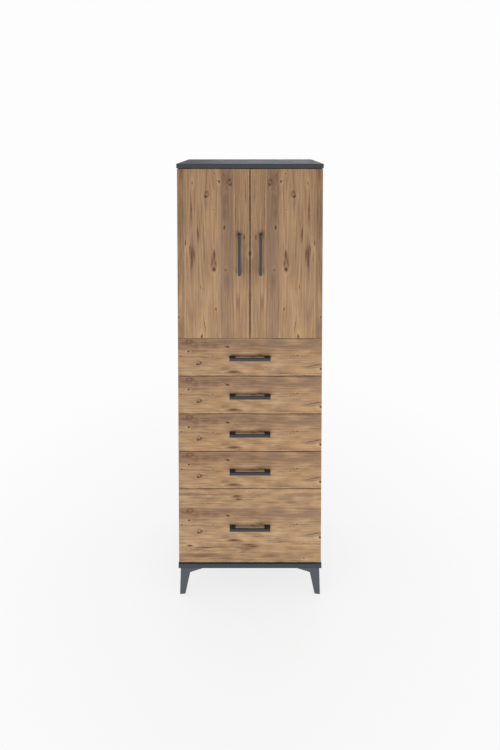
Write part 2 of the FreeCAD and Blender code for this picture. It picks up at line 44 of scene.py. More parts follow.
def paint(red, green, blue):
    # screen colour, 0 to 255, as the linear colour that shaders take
    parts = [value / 255 for value in (red, green, blue)]
    return [p / 12.92 if p < 0.04045 else ((p + 0.055) / 1.055) ** 2.4 for p in parts] + [1.0]


def shaded(colour, share):
    # a screen colour made darker or lighter
    return paint(*[part * share for part in colour])


def plug(tree, socket, value):
    if isinstance(value, bpy.types.NodeSocket):
        tree.links.new(value, socket)
    elif value is not None:
        socket.default_value = value


def newNode(tree, kind, **settings):
    node = tree.nodes.new("ShaderNode" + kind)
    for key, value in settings.items():
        setattr(node, key, value)
    return node


def calc(tree, how, *values):
    node = newNode(tree, "Math", operation=how)
    for socket, value in zip(node.inputs, values):
        plug(tree, socket, value)
    return node.outputs[0]


def vectorCalc(tree, how, *values):
    node = newNode(tree, "VectorMath", operation=how)
    for socket, value in zip(node.inputs, values):
        plug(tree, socket, value)
    return node.outputs["Value" if how in ("LENGTH", "DISTANCE", "DOT_PRODUCT") else "Vector"]


def join(tree, x, y, z=0.0):
    node = newNode(tree, "CombineXYZ")
    for socket, value in zip(node.inputs, (x, y, z)):
        plug(tree, socket, value)
    return node.outputs[0]


def split(tree, vector):
    node = newNode(tree, "SeparateXYZ")
    plug(tree, node.inputs[0], vector)
    return node.outputs


def remap(tree, value, low, high, newLow, newHigh, soft=True):
    node = newNode(tree, "MapRange", interpolation_type="SMOOTHSTEP" if soft else "LINEAR")
    for socket, number in zip(node.inputs, (value, low, high, newLow, newHigh)):
        plug(tree, socket, number)
    return node.outputs[0]


def speckle(tree, vector, scale, detail=2.0, rough=0.5):
    node = newNode(tree, "TexNoise")
    plug(tree, node.inputs["Vector"], vectorCalc(tree, "MULTIPLY", vector, scale))
    plug(tree, node.inputs["Scale"], 1.0)
    plug(tree, node.inputs["Detail"], detail)
    plug(tree, node.inputs["Roughness"], rough)
    return node.outputs["Fac"]


def ramp(tree, value, stops, ease="LINEAR"):
    node = newNode(tree, "ValToRGB")
    node.color_ramp.interpolation = ease
    while len(node.color_ramp.elements) < len(stops):
        node.color_ramp.elements.new(1.0)
    for element, (place, colour) in zip(node.color_ramp.elements, stops):
        element.position = place
        element.color = colour if isinstance(colour, list) else [colour, colour, colour, 1.0]
    plug(tree, node.inputs[0], value)
    return node.outputs[0]


def blendColour(tree, share, first, second, how="MIX"):
    node = newNode(tree, "Mix", data_type="RGBA", blend_type=how)
    plug(tree, node.inputs["Factor"], share)
    plug(tree, node.inputs[6], first)
    plug(tree, node.inputs[7], second)
    return node.outputs[2]


def newMaterial(name):
    material = bpy.data.materials.new(name)
    material.use_nodes = True
    tree = material.node_tree
    shader = tree.nodes["Principled BSDF"]
    place = newNode(tree, "TexCoord").outputs["Object"]
    return material, tree, shader, place


def roundedNormal(tree, radius, height, depth):
    # soft arrises from the bevel, then the fine relief on top of them
    bevel = newNode(tree, "Bevel", samples=4)
    plug(tree, bevel.inputs["Radius"], radius)
    bump = newNode(tree, "Bump")
    plug(tree, bump.inputs["Strength"], 1.0)
    plug(tree, bump.inputs["Distance"], depth)
    plug(tree, bump.inputs["Height"], height)
    plug(tree, bump.inputs["Normal"], bevel.outputs[0])
    return bump.outputs[0]


def arrisMask(tree, radius):
    # 0 on a flat face, rising to 1 along its edges
    bevel = newNode(tree, "Bevel", samples=4)
    plug(tree, bevel.inputs["Radius"], radius)
    flat = newNode(tree, "NewGeometry").outputs["True Normal"]
    facing = vectorCalc(tree, "DOT_PRODUCT", bevel.outputs[0], flat)
    return remap(tree, facing, 0.995, 0.85, 0.0, 1.0)


# knotty wood decor, in millimetres along and across the grain
# marks: across, along, half width, half length, strength, tilt in degrees

doorDecor = {
    "width": 300.0,
    "knots": [
        (80, 1733, 4, 7, 0.8, -20), (126.6, 1745.6, 4, 7, 0.95, 20), (138, 1750, 2.5, 4, 0.6, 0),
        (146, 1779, 3, 4.5, 0.75, 0), (147.3, 1629, 3, 4.5, 0.5, 0), (105, 1555.7, 5, 10, 0.85, 0),
        (236, 1738, 4, 12, 0.4, 0), (148, 1382.7, 8, 10, 0.95, 0), (100, 1380, 6, 10, 0.35, 0),
        (150, 1254, 3, 5, 0.5, 0), (140.5, 1218, 3, 8, 0.8, 8), (199, 1103, 5, 12, 0.85, 0),
        (293, 1184, 4, 7, 0.7, 0), (0, 1450, 7, 9, 0.9, 0), (183, 1684, 5, 7, 0.85, 30),
    ],
    "rings": [(176.4, 1693, 9.5, 14, 0.95, 0), (83, 1742, 8, 14, 0.95, 0)],
    "streaks": [
        (213.5, 1528, 4.6, 40, 1.0, 2), (231, 1447, 3.0, 30, 0.95, 8), (239, 1436, 3.4, 46, 1.0, 4),
        (247, 1466, 2.6, 30, 0.85, -5), (241, 1404, 3.0, 34, 0.9, -7), (265, 1495, 3.4, 18, 0.9, 0),
        (24, 1516, 5, 16, 1.0, 0), (147, 1444, 6, 24, 1.0, 0), (204, 1309, 2.6, 16, 0.7, 0),
        (192, 1302, 14, 1.6, 0.5, 0), (186.5, 1150, 2, 50, 0.8, 9), (241, 1640, 4, 80, 0.55, 0),
        (155, 1412, 4, 32, 0.7, -8), (141, 1406, 3.6, 28, 0.75, 8), (59, 1640, 2.6, 150, 0.6, 0),
        (18, 1700, 2.6, 90, 0.6, 0), (259, 1430, 2.6, 50, 0.65, 0), (229, 1440, 2.4, 40, 0.6, 0),
        (8, 1300, 2, 130, 0.5, 0), (71, 1300, 2, 120, 0.5, 0), (106, 1770, 2.4, 15, 0.6, 35),
        (98, 1738, 2.4, 17, 0.6, -35), (92, 1712, 2.2, 15, 0.55, -35),
    ],
    "stains": [
        (52, 1530, 12, 26, 0.6, 0), (50, 1245, 11, 44, 0.6, 0), (101, 1670, 12, 36, 0.7, 0),
        (102, 1620, 10, 30, 0.6, 0), (283, 1780, 10, 60, 0.5, 0), (99, 1755, 20, 34, 0.6, 0),
        (96, 1340, 14, 50, 0.5, 0), (240, 1600, 9, 60, 0.4, 0), (148, 1412, 10, 42, 1.0, 0),
        (238, 1450, 13, 66, 0.6, 0), (104, 1768, 5, 22, 0.9, 30), (96, 1722, 5, 24, 0.9, -32),
    ],
    "bands": [
        (0.0, 0.37), (0.03, 0.38), (0.05, 0.45), (0.19, 0.44), (0.20, 0.37), (0.226, 0.38),
        (0.236, 0.54), (0.30, 0.57), (0.388, 0.54), (0.402, 0.38), (0.60, 0.34), (0.73, 0.36),
        (0.79, 0.46), (0.82, 0.45), (0.85, 0.38), (0.896, 0.40), (0.906, 0.59), (1.0, 0.57),
    ],
    "grey": [(0.226, 0.0), (0.24, 0.9), (0.386, 0.9), (0.404, 0.0)],
    "figure": 0.84,
    "lines": 1.10,
    "cloud": (0.006, 0.018, 0.0),  # how many a millimetre, along and across
    "cloudDepth": 0.45,
    "darkEnd": (1250.0, 1640.0),  # the upper part of the board is a little darker
}

drawerDecor = {
    "width": 316.0,
    "knots": [
        (114.5, -93, 4.5, 9, 0.9, 8), (109.5, -105, 2, 3, 0.6, 0), (134.5, -255, 5, 6, 0.9, 25),
        (145.5, -260, 2.5, 3, 0.65, 0), (154.5, -285, 3.5, 4, 0.8, 0), (156, -156, 3, 4, 0.55, 0),
        (160, 167, 3.5, 4, 0.6, 0), (150.5, 197, 3, 5, 0.8, 0), (208.5, 295, 5, 7, 0.95, 0),
        (244, -252, 4.5, 13, 0.85, 0), (299, 227, 3, 6, 0.75, 0), (10.6, -4, 2, 6, 0.55, 0),
        (190, -216, 4, 7, 0.7, 0), (94, -250, 3, 5, 0.6, 0), (179, -201, 3, 6, 0.6, 30),
    ],
    "rings": [(93, -251, 8, 14, 1.0, 0), (181.5, -212, 11, 12, 0.75, 20)],
    "streaks": [
        # the second streak, at 150.5 across and 47 along, lies along the top of every drawer handle: partly
        # a wood mark, partly painted shadow of the handle bar
        (220.5, -67, 6, 40, 1.0, 0), (150.5, 47, 2.6, 17, 0.8, -6), (213, 113, 2.2, 17, 0.7, 0),
        (195, 124, 12, 1.2, 0.45, 0), (194, 264, 2.6, 40, 0.95, -11), (205, 31, 1.6, 62, 0.6, 0),
        (29.7, -59, 4.2, 22, 1.0, 0), (44, -48, 4.6, 17, 1.0, 0), (240, -8, 4.4, 40, 0.85, 0),
        (255, -20, 3.4, 68, 0.8, 0), (247, 14, 3.4, 30, 0.8, 3), (262, -12, 3, 40, 0.8, -2),
        (272, -34, 2.6, 20, 0.8, 0), (251, -187, 3.6, 66, 0.9, 0), (259, -230, 2.6, 44, 0.8, 0),
        (229, 133, 1.6, 88, 0.6, 0), (62, -180, 2.2, 116, 0.65, 0), (228, 150, 1.8, 50, 0.6, 4),
        (236, 230, 1.6, 60, 0.55, -5), (262, 190, 1.6, 80, 0.5, 0),
    ],
    "stains": [
        (106, -181, 9, 24, 1.0, 0), (108, -146, 8, 20, 0.9, 0), (112, -226, 9, 14, 0.9, 0),
        # the last stain on the next line, at 156 across and 14 along, lies along the top of every drawer
        # handle: partly a wood mark, partly painted shadow of the handle bar
        (100, -275, 11, 16, 0.8, 0), (98, -95, 9, 26, 0.7, 0), (156, 14, 6, 14, 0.9, 0),
        (58, 174, 7, 32, 0.6, 0), (288, -200, 7, 90, 0.6, 0), (288, 90, 7, 46, 0.65, 0),
        # the second stain on the next line, at 150 across and 42 along, lies along the top of every drawer
        # handle: partly a wood mark, partly painted shadow of the handle bar
        (24, -180, 5, 112, 0.5, 0), (150, 42, 6, 26, 0.6, 0), (104, 12, 9, 34, 0.8, 0),
        (104, -262, 5, 18, 0.9, 35), (110, -240, 5, 18, 0.9, 35), (100, -224, 5, 16, 0.8, 35),
        (246, -5, 14, 60, 0.5, 0), (36, -54, 13, 34, 0.7, 0),
    ],
    "bands": [
        (0.0, 0.32), (0.04, 0.36), (0.07, 0.47), (0.12, 0.39), (0.19, 0.42), (0.22, 0.34),
        (0.245, 0.39), (0.27, 0.58), (0.37, 0.57), (0.43, 0.40), (0.60, 0.33), (0.74, 0.33),
        (0.80, 0.41), (0.86, 0.38), (0.90, 0.51), (0.94, 0.47), (1.0, 0.35),
    ],
    "grey": [(0.25, 0.0), (0.28, 0.9), (0.37, 0.9), (0.42, 0.0)],
    "figure": 0.86,
    "lines": 0.85,
    "cloud": (0.014, 0.040, 0.0),
    "cloudDepth": 0.90,
    "darkEnd": (400.0, -450.0),
}

sideDecor = {
    "width": 400.0,
    "knots": [
        (90, 1640, 6, 12, 0.85, 0), (132, 1632, 3, 5, 0.7, 0), (310, 1508, 5, 9, 0.85, 10),
        (210, 1290, 7, 10, 0.9, 0), (60, 1184, 3, 6, 0.7, 0), (285, 1050, 6, 12, 0.85, 0),
        (150, 905, 4, 8, 0.8, 0), (345, 800, 4, 7, 0.7, 0), (95, 640, 7, 12, 0.9, 0),
        (242, 470, 5, 9, 0.85, 0), (330, 330, 4, 8, 0.75, 0), (120, 262, 3, 6, 0.7, 0),
    ],
    "rings": [(255, 1700, 10, 14, 0.85, 0), (182, 730, 9, 13, 0.85, 0), (300, 205, 9, 12, 0.8, 0)],
    "streaks": [
        (160, 1530, 4, 36, 0.85, 2), (70, 1400, 3, 44, 0.6, -3), (340, 1330, 3, 30, 0.7, 0),
        (255, 1180, 2, 50, 0.5, 4), (120, 1010, 3.5, 34, 0.8, 0), (320, 930, 2, 60, 0.5, -3),
        (215, 590, 4, 40, 0.8, 0), (60, 420, 3, 44, 0.6, 3), (170, 330, 2, 60, 0.5, 0),
        (290, 640, 2, 70, 0.45, 2),
    ],
    "stains": [
        (120, 1320, 12, 60, 0.5, 0), (290, 1580, 12, 50, 0.5, 0), (220, 860, 14, 60, 0.5, 0),
        (80, 800, 10, 50, 0.5, 0), (330, 520, 12, 60, 0.5, 0), (200, 240, 12, 60, 0.5, 0),
    ],
    "bands": [
        (0.0, 0.52), (0.08, 0.50), (0.12, 0.37), (0.30, 0.38), (0.35, 0.52), (0.45, 0.51), (0.51, 0.37),
        (0.70, 0.35), (0.75, 0.46), (0.82, 0.45), (0.86, 0.37), (1.0, 0.42),
    ],
    "grey": [(0.32, 0.0), (0.36, 0.8), (0.45, 0.8), (0.49, 0.0)],
    "figure": 0.84,
    "lines": 0.85,
    "cloud": (0.006, 0.018, 0.0),
    "cloudDepth": 0.45,
    "darkEnd": (1250.0, 1640.0),
}

woodTones = {
    "lightToDark": [
        (0.0, paint(203, 169, 129)), (0.3, paint(181, 146, 110)), (0.55, paint(156, 123, 93)),
        (0.8, paint(128, 97, 71)), (1.0, paint(96, 70, 49)),
    ],
    "greyed": paint(148, 121, 99),
    "reddish": paint(150, 104, 74),
    "knot": paint(70, 38, 19),
    "ring": paint(96, 58, 31),
    "streak": paint(97, 58, 31),
}

woodNoise = {  # waves a millimetre along and across the grain, then detail and roughness
    "ragged": ((0.05, 0.16, 0.0), 2.0, 0.5),
    "nibble": ((0.20, 0.32, 0.0), 1.0, 0.5),
    "sway": ((0.0035, 0.014, 0.0), 1.0, 0.5),
    "figure": ((0.006, 0.14, 0.0), 3.0, 0.6),
    "lines": ((0.0026, 0.30, 0.0), 3.0, 0.65),
    "fibre": ((0.014, 0.66, 0.0), 3.0, 0.65),
    "fine": ((0.05, 2.4, 0.0), 2.0, 0.5),
    "pores": ((0.055, 1.7, 0.0), 1.0, 0.5),
    "tint": ((0.013, 0.075, 0.0), 2.0, 0.5),
}

woodReach = {"ragged": 5.0, "nibble": 3.6, "sway": 16.0, "bulge": 4.5}  # millimetres

woodDepth = {  # how far each layer darkens the board, in shares of the tone ramp
    "fibre": 0.62,
    "fine": 0.20,
    "pores": 0.10,
    "darkEnd": 0.06,
    "halo": -0.09,
    "stain": 0.30,
}

markShape = {
    "far": 9.0,  # where no mark is near, in half sizes
    "fainter": 0.7,  # how much smaller a faint mark gets
    "pull": 0.6,  # how far a knot pushes the grain aside, in its half widths
    "spread": 0.12,  # how soon that push dies away
    "ring": [  # from the middle of a ring outwards
        (0.0, 0.45), (0.16, 0.12), (0.24, 0.20), (0.33, 0.90), (0.46, 0.80), (0.58, 0.30), (0.75, 0.0)],
}


def nearest(tree, spot, marks, bulge=None):
    # distance to the nearest mark in units of its own size, and how far the marks push the grain aside
    near = markShape["far"]
    push = 0.0
    for across, along, halfWidth, halfLength, strength, tilt in marks:
        seat = newNode(tree, "Mapping", vector_type="TEXTURE")
        plug(tree, seat.inputs["Vector"], spot)
        plug(tree, seat.inputs["Location"], (along, across, 0.0))
        plug(tree, seat.inputs["Rotation"], (0.0, 0.0, math.radians(tilt)))
        plug(tree, seat.inputs["Scale"], (halfLength, halfWidth, 1.0))
        away = vectorCalc(tree, "LENGTH", seat.outputs[0])
        faint = calc(tree, "ADD", away, (1 - strength) * markShape["fainter"])
        near = calc(tree, "MINIMUM", near, faint)
        if bulge and halfWidth >= bulge:
            square = calc(tree, "MULTIPLY", away, away)
            spread = calc(tree, "MULTIPLY_ADD", square, markShape["spread"], 1.0)
            pull = calc(tree, "DIVIDE", markShape["pull"] * strength, calc(tree, "MULTIPLY", spread, spread))
            shove = calc(tree, "MULTIPLY", split(tree, seat.outputs[0])[1], pull)
            push = calc(tree, "MULTIPLY_ADD", shove, halfWidth, push)
    return near, push


def woodGroup(name, decor):
    tree = bpy.data.node_groups.new(name, "ShaderNodeTree")
    for label in ("along", "across"):
        tree.interface.new_socket(label, in_out="INPUT", socket_type="NodeSocketFloat")
    tree.interface.new_socket("colour", in_out="OUTPUT", socket_type="NodeSocketColor")
    for label in ("roughness", "relief"):
        tree.interface.new_socket(label, in_out="OUTPUT", socket_type="NodeSocketFloat")

    def grain(layer, where):
        return speckle(tree, where, *woodNoise[layer])

    def wander(layer, where):
        return calc(tree, "MULTIPLY_ADD", grain(layer, where), woodReach[layer], -woodReach[layer] / 2)

    start = tree.nodes.new("NodeGroupInput")
    along = calc(tree, "MULTIPLY", start.outputs[0], 1000.0)  # metres to millimetres
    across = calc(tree, "MULTIPLY", start.outputs[1], 1000.0)
    spot = join(tree, along, across)

    # marks are never perfect ovals
    ragged = calc(tree, "ADD", wander("ragged", spot), wander("nibble", spot))
    uneven = join(tree, calc(tree, "MULTIPLY_ADD", ragged, 2.0, along), calc(tree, "ADD", across, ragged))
    knotNear, knotPush = nearest(tree, uneven, decor["knots"], woodReach["bulge"])
    ringNear, ringPush = nearest(tree, uneven, decor["rings"], woodReach["bulge"])
    streakNear = nearest(tree, uneven, decor["streaks"])[0]
    stainNear = nearest(tree, uneven, decor["stains"])[0]

    # the grain's own line, pushed round the knots
    sway = wander("sway", spot)
    line = calc(tree, "SUBTRACT", calc(tree, "ADD", across, sway), calc(tree, "ADD", knotPush, ringPush))
    flow = join(tree, along, line)
    figure = grain("figure", flow)
    lines = grain("lines", flow)
    fibre = grain("fibre", flow)
    fine = grain("fine", flow)
    pores = remap(tree, grain("pores", flow), 0.64, 0.76, 0.0, 1.0)
    patch = speckle(tree, spot, decor["cloud"], 2.0)
    tint = calc(tree, "SUBTRACT", grain("tint", flow), 0.5)

    # tone from pale to dark, layer on layer
    strip = calc(tree, "DIVIDE", calc(tree, "MULTIPLY_ADD", sway, 0.15, across), decor["width"])
    dark = ramp(tree, strip, decor["bands"])
    layers = [
        (figure, decor["figure"]), (lines, decor["lines"]), (fibre, woodDepth["fibre"]),
        (fine, woodDepth["fine"]), (patch, decor["cloudDepth"]),
    ]
    for noise, depth in layers:
        dark = calc(tree, "MULTIPLY_ADD", calc(tree, "SUBTRACT", noise, 0.5), depth, dark)
    dark = calc(tree, "MULTIPLY_ADD", pores, woodDepth["pores"], dark)
    dark = calc(tree, "ADD", dark, remap(tree, along, *decor["darkEnd"], 0.0, woodDepth["darkEnd"]))
    pastKnot = remap(tree, knotNear, 1.0, 1.5, 0.0, 1.0)
    nearKnot = remap(tree, knotNear, 1.8, 3.4, 1.0, 0.0)
    halo = calc(tree, "MULTIPLY", pastKnot, nearKnot)  # paler wood round a knot
    dark = calc(tree, "MULTIPLY_ADD", halo, woodDepth["halo"], dark)
    stain = remap(tree, stainNear, 0.2, 1.5, 1.0, 0.0)
    dark = calc(tree, "MULTIPLY_ADD", stain, woodDepth["stain"], dark)
    colour = ramp(tree, dark, woodTones["lightToDark"])

    # yellower and redder strips side by side
    redPart = calc(tree, "MULTIPLY_ADD", tint, 0.2, 1.0)
    bluePart = calc(tree, "MULTIPLY_ADD", tint, -0.4, 0.94)
    colour = blendColour(tree, 1.0, colour, join(tree, redPart, 0.985, bluePart), "MULTIPLY")

    # greyed strips, stains, streaks, rings and knots over the tone
    grey = ramp(tree, strip, decor["grey"])
    grey = calc(tree, "MULTIPLY", grey, remap(tree, patch, 0.35, 0.65, 0.1, 0.5))
    colour = blendColour(tree, grey, colour, woodTones["greyed"])
    colour = blendColour(tree, calc(tree, "MULTIPLY", stain, 0.35), colour, woodTones["reddish"])
    streak = remap(tree, calc(tree, "MULTIPLY_ADD", fibre, 0.7, streakNear), 0.6, 1.55, 0.95, 0.0)
    colour = blendColour(tree, streak, colour, woodTones["streak"])
    loop = ramp(tree, calc(tree, "DIVIDE", ringNear, 2.0), markShape["ring"])
    loop = calc(tree, "MULTIPLY", loop, remap(tree, figure, 0.34, 0.54, 0.45, 1.0))  # open in places
    colour = blendColour(tree, loop, colour, woodTones["ring"])
    knot = remap(tree, knotNear, 0.40, 1.35, 0.95, 0.0)
    colour = blendColour(tree, knot, colour, woodTones["knot"])

    end = tree.nodes.new("NodeGroupOutput")
    plug(tree, end.inputs[0], colour)
    rough = calc(tree, "MULTIPLY_ADD", fibre, 0.16, 0.42)
    plug(tree, end.inputs[1], calc(tree, "MULTIPLY_ADD", knot, -0.06, rough))
    relief = calc(tree, "MULTIPLY_ADD", fibre, 0.5, calc(tree, "MULTIPLY", fine, 0.3))
    relief = calc(tree, "MULTIPLY_ADD", pores, -0.6, relief)
    plug(tree, end.inputs[2], calc(tree, "MULTIPLY_ADD", streak, -0.5, relief))
    return tree


woodSurface = {
    "gloss": 0.28,
    "arris": 0.0006,  # metres, as the next two
    "relief": 0.00022,
    "paintedHighlightWidth": 0.0007,
    "paintedEdgeHighlight": 0.2,  # how much of the painted highlight tone shows along an edge
    "paintedHighlightTone": paint(196, 164, 128),
}


def woodMaterial(name, group, along, across, tone=(1.0, 1.0, 1.0)):
    material, tree, shader, place = newMaterial(name)
    axes = split(tree, place)
    board = newNode(tree, "Group", node_tree=group)
    plug(tree, board.inputs[0], along(tree, axes))
    plug(tree, board.inputs[1], across(tree, axes))
    # the tone multiplies the board colour; on the deep front it is painted light
    sheet = blendColour(tree, 1.0, board.outputs[0], [*tone, 1.0], "MULTIPLY")
    # painted highlight: a paler tone laid along the board's edges
    paintedEdgeHighlight = calc(tree, "MULTIPLY", arrisMask(tree, woodSurface["paintedHighlightWidth"]), woodSurface["paintedEdgeHighlight"])
    plug(tree, shader.inputs["Base Color"], blendColour(tree, paintedEdgeHighlight, sheet, woodSurface["paintedHighlightTone"]))
    shader.inputs["Specular IOR Level"].default_value = woodSurface["gloss"]
    plug(tree, shader.inputs["Roughness"], board.outputs[1])
    normal = roundedNormal(tree, woodSurface["arris"], board.outputs[2], woodSurface["relief"])
    plug(tree, shader.inputs["Normal"], normal)
    return material


doorGroup = woodGroup("doorDecor", doorDecor)
drawerGroup = woodGroup("drawerDecor", drawerDecor)
sideGroup = woodGroup("sideDecor", sideDecor)

sheets = {  # where the boards are cut from their sheets, in metres
    "lowestFront": 0.458,
    "frontPitch": 0.160,
    "frontHeight": 0.157,
    "aboveFront": 0.0795,
    "deepTop": 0.455,
    "deepPaintedLight": (1.07, 1.10, 1.15),  # painted light: the deep front made paler and bluer, as if lit more strongly low down
    "sideEdge": 0.18,
    "shelfStart": 0.9,
}


def upright(tree, axes):
    return axes[2]


def level(tree, axes):
    return axes[0]


def fromMiddle(tree, axes):
    return calc(tree, "ABSOLUTE", axes[0])


def downSmallFront(tree, axes):
    risen = calc(tree, "SUBTRACT", axes[2], sheets["lowestFront"])
    risen = calc(tree, "FLOORED_MODULO", risen, sheets["frontPitch"])
    return calc(tree, "SUBTRACT", sheets["frontHeight"] + sheets["aboveFront"], risen)


def downDeepFront(tree, axes):
    return calc(tree, "SUBTRACT", sheets["deepTop"], axes[2])


def fromFrontEdge(tree, axes):
    return calc(tree, "ADD", axes[1], sheets["sideEdge"])


def alongShelf(tree, axes):
    return calc(tree, "ADD", axes[0], sheets["shelfStart"])


doorWood = woodMaterial("doorWood", doorGroup, upright, fromMiddle)
drawerWood = woodMaterial("drawerWood", drawerGroup, level, downSmallFront)
# painted light: a paler, bluer copy of the drawer wood for the deep front
deepDrawerWoodPaintedLight = woodMaterial("deepDrawerWoodPaintedLight", drawerGroup, level, downDeepFront, sheets["deepPaintedLight"])
sideWood = woodMaterial("sideWood", sideGroup, upright, fromFrontEdge)
shelfWood = woodMaterial("shelfWood", sideGroup, alongShelf, fromFrontEdge)
print("wood decor made")


# dark finishes: laminate, moulded plastic, coated metal

darkFinishes = {
    "anthraciteBoard": {
        "colour": (71, 75, 84), "rough": 0.60, "gloss": 0.12,
        "grain": (160.0, 900.0), "depth": 0.00005, "arris": 0.0010,
    },
    "anthracitePlastic": {
        "colour": (87, 90, 98), "rough": 0.55, "gloss": 0.22,
        "grain": (420.0, 1600.0), "depth": 0.00008, "arris": 0.0012,
    },
    "anthraciteMetal": {
        "colour": (54, 57, 65), "rough": 0.46, "gloss": 0.30,
        "grain": (700.0, 2600.0), "depth": 0.00004, "arris": 0.0006,
    },
}


def darkMaterial(name, look):
    material, tree, shader, place = newMaterial(name)
    broad = speckle(tree, place, (6.0, 6.0, 6.0), 3.0)
    coarse = speckle(tree, place, (look["grain"][0],) * 3, 2.0)
    fine = speckle(tree, place, (look["grain"][1],) * 3, 2.0)
    base = paint(*look["colour"])
    tint = calc(tree, "MULTIPLY_ADD", broad, 0.06, 0.97)
    tint = calc(tree, "MULTIPLY_ADD", calc(tree, "SUBTRACT", fine, 0.5), 0.16, tint)
    shade = blendColour(tree, 1.0, base, join(tree, tint, tint, tint), "MULTIPLY")
    # painted highlight: a lighter copy of the colour laid along the edges
    paintedHighlightColour = [min(1.0, part * 1.7 + 0.01) for part in base[:3]] + [1.0]
    paintedEdgeHighlight = calc(tree, "MULTIPLY", arrisMask(tree, look["arris"]), 0.3)
    plug(tree, shader.inputs["Base Color"], blendColour(tree, paintedEdgeHighlight, shade, paintedHighlightColour))
    shader.inputs["Specular IOR Level"].default_value = look["gloss"]
    rough = calc(tree, "MULTIPLY_ADD", coarse, 0.14, look["rough"] - 0.07)
    plug(tree, shader.inputs["Roughness"], calc(tree, "MULTIPLY_ADD", broad, 0.03, rough))
    relief = calc(tree, "MULTIPLY_ADD", fine, 0.5, coarse)
    plug(tree, shader.inputs["Normal"], roundedNormal(tree, look["arris"], relief, look["depth"]))
    return material


anthraciteBoard, anthracitePlastic, anthraciteMetal = (
    darkMaterial(name, look) for name, look in darkFinishes.items())


# hardboard, pale drawer board and zinc

hardboard = {"coat": (206, 200, 190), "bare": (150, 116, 84), "arris": 0.0006, "depth": 0.00015}


def hardboardMaterial(name, look, backAxis):
    # coated on the side that shows, bare brown fibre on the other
    material, tree, shader, place = newMaterial(name)
    fibre = speckle(tree, place, (160.0, 160.0, 160.0), 4.0, 0.7)
    cloud = speckle(tree, place, (9.0, 9.0, 9.0), 3.0)
    flake = speckle(tree, place, (46.0, 46.0, 46.0), 5.0, 0.75)
    colour = look["coat"]
    coat = blendColour(tree, calc(tree, "MULTIPLY", cloud, 0.5), paint(*colour), shaded(colour, 0.93))
    coat = blendColour(tree, remap(tree, fibre, 0.55, 0.75, 0.0, 0.25), coat, shaded(colour, 0.82))
    brown = look["bare"]
    raw = blendColour(tree, fibre, paint(*brown), shaded(brown, 0.70))
    raw = blendColour(tree, calc(tree, "MULTIPLY", cloud, 0.8), raw, shaded(brown, 0.80))
    raw = blendColour(tree, remap(tree, flake, 0.52, 0.68, 0.0, 0.45), raw, shaded(brown, 0.62))
    raw = blendColour(tree, remap(tree, flake, 0.46, 0.32, 0.0, 0.35), raw, shaded(brown, 1.18))
    facing = split(tree, newNode(tree, "TexCoord").outputs["Normal"])["XYZ".index(backAxis[1])]
    sign = 1.0 if backAxis[0] == "+" else -1.0
    bare = remap(tree, calc(tree, "MULTIPLY", facing, sign), 0.4, 0.6, 0.0, 1.0)
    plug(tree, shader.inputs["Base Color"], blendColour(tree, bare, coat, raw))
    rough = calc(tree, "MULTIPLY_ADD", fibre, 0.15, 0.42)
    plug(tree, shader.inputs["Roughness"], calc(tree, "MULTIPLY_ADD", bare, 0.25, rough))
    plug(tree, shader.inputs["Normal"], roundedNormal(tree, look["arris"], fibre, look["depth"]))
    return material


backBoard = hardboardMaterial("backBoard", hardboard, "+Y")
bottomBoard = hardboardMaterial("bottomBoard", hardboard, "-Z")

linen = {"colour": (190, 186, 180), "arris": 0.0007, "depth": 0.00008}


def linenMaterial(name, look):
    # pale laminate with a fine woven print
    material, tree, shader, place = newMaterial(name)
    uprightThreads = speckle(tree, place, (900.0, 900.0, 40.0), 2.0)
    levelThreads = speckle(tree, place, (40.0, 40.0, 900.0), 2.0)
    weave = calc(tree, "ADD", uprightThreads, levelThreads)
    cloud = speckle(tree, place, (7.0, 7.0, 7.0), 3.0)
    colour = look["colour"]
    thread = remap(tree, weave, 0.7, 1.3, 0.0, 1.0)
    shade = blendColour(tree, thread, paint(*colour), shaded(colour, 0.90))
    shade = blendColour(tree, calc(tree, "MULTIPLY", cloud, 0.35), shade, shaded(colour, 0.92))
    plug(tree, shader.inputs["Base Color"], shade)
    plug(tree, shader.inputs["Roughness"], calc(tree, "MULTIPLY_ADD", weave, 0.12, 0.36))
    plug(tree, shader.inputs["Normal"], roundedNormal(tree, look["arris"], weave, look["depth"]))
    return material


drawerBoard = linenMaterial("drawerBoard", linen)

zinc = {"colour": (196, 198, 202), "arris": 0.0004, "depth": 0.00003}


def zincMaterial(name, look):
    material, tree, shader, place = newMaterial(name)
    brush = speckle(tree, place, (900.0, 30.0, 900.0), 3.0)
    cloud = speckle(tree, place, (45.0, 45.0, 45.0), 3.0)
    colour = look["colour"]
    shade = blendColour(tree, brush, paint(*colour), shaded(colour, 0.86))
    shade = blendColour(tree, remap(tree, cloud, 0.45, 0.7, 0.0, 0.5), shade, shaded(colour, 0.80))
    plug(tree, shader.inputs["Base Color"], shade)
    shader.inputs["Metallic"].default_value = 1.0
    rough = calc(tree, "MULTIPLY_ADD", cloud, 0.12, 0.20)
    plug(tree, shader.inputs["Roughness"], calc(tree, "MULTIPLY_ADD", brush, 0.20, rough))
    plug(tree, shader.inputs["Normal"], roundedNormal(tree, look["arris"], brush, look["depth"]))
    return material


zincSteel = zincMaterial("zincSteel", zinc)
print("plain finishes made")


# finishes onto the boards and fittings

def finishFor(name):
    if name in ("top_panel", "base_panel"):
        return anthraciteBoard
    if name == "legs":
        return anthracitePlastic
    if name.endswith("_handle"):
        return anthraciteMetal
    if name.endswith("_door_panel"):
        return doorWood
    if name == "drawer_5_front":
        return deepDrawerWoodPaintedLight
    if name.endswith("_front"):
        return drawerWood
    if name.endswith("_side_panel"):
        return sideWood
    if name in ("fixed_shelf", "adjustable_shelves"):
        return shelfWood
    if name == "back_panel":
        return backBoard
    if name.endswith("_bottom"):
        return bottomBoard
    if name.endswith("_sides") or name.endswith("_back"):
        return drawerBoard
    return zincSteel


